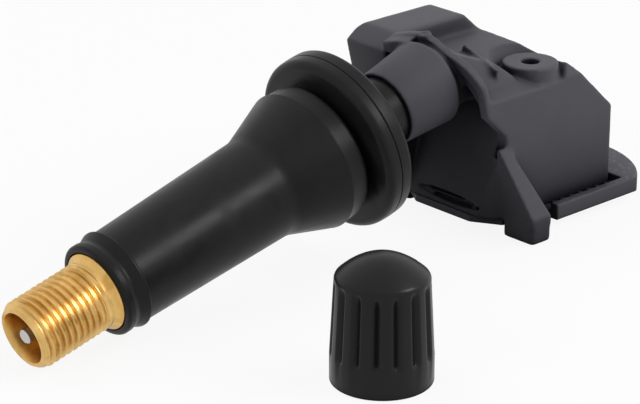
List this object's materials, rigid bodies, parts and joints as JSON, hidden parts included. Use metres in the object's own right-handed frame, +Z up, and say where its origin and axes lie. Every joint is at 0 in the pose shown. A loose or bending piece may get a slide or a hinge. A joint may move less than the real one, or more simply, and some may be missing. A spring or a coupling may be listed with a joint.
{
  "type": "tyre pressure sensor",
  "caption": "Snap-in tyre pressure sensor: threaded brass valve stem in a black rubber body, grey moulded sensor housing behind it, and a fluted valve cap standing beside it.",
  "frame": {"origin": "on the stem axis at the rim groove of the rubber body", "axes": "+X runs level along the stem from the brass tip toward the housing, +Y is left, +Z is up; the stem axis rises 14 degrees from +X"},
  "size_m": [0.0885, 0.0446, 0.0248],
  "materials": {
    "brass": "turned brass, bright",
    "stem_rubber": "satin moulded rubber",
    "core_brass": "turned brass",
    "pin_steel": "plated pin",
    "seal_resin": "soft sealing resin",
    "spring_steel": "drawn wire",
    "housing_resin": "fine moulded texture",
    "plate_resin": "fine moulded texture",
    "screw_steel": "zinc plated",
    "board_laminate": "solder mask",
    "cell_steel": "nickel plated",
    "tab_nickel": "nickel strip",
    "chip_resin": "moulded package",
    "gasket_rubber": "soft grey rubber",
    "filter_felt": "breathable membrane",
    "ferrite": "sintered",
    "winding_copper": "enamelled copper wire",
    "antenna_metal": "stamped strip",
    "capacitor_ceramic": "fired ceramic",
    "cap_resin": "semi-gloss moulding",
    "cap_seal_rubber": "soft rubber"
  },
  "bodies": {
    "sensor": {"brass_stem": "brass", "rubber_body": "stem_rubber", "core_plug": "core_brass", "core_barrel": "core_brass", "core_seal": "seal_resin", "sensor_housing": "housing_resin", "base_plate": "plate_resin", "stem_screw": "screw_steel", "circuit_board": "board_laminate", "battery_cell": "cell_steel", "battery_tab_lower": "tab_nickel", "battery_tab_upper": "tab_nickel", "pressure_chip": "chip_resin", "port_gasket": "gasket_rubber", "port_filter": "filter_felt", "coil_core": "ferrite", "coil_winding": "winding_copper", "antenna": "antenna_metal", "crystal_can": "cell_steel", "controller_chip": "chip_resin", "tuning_capacitor": "capacitor_ceramic", "valve_cap": "cap_resin", "cap_seal": "cap_seal_rubber"},
    "valve_pin": {"core_pin": "pin_steel", "core_washer": "stem_rubber", "core_spring": "spring_steel"}
  },
  "joints": [
    {"name": "valve_pin_slide", "type": "slide", "parent": "sensor", "child": "valve_pin", "axis": [0.9703, 0, 0.2419], "range_m": [0, 0.0012], "stiffness_N_per_m": 800, "springref_m": -0.002, "deforming": ["core_spring"]}
  ]
}
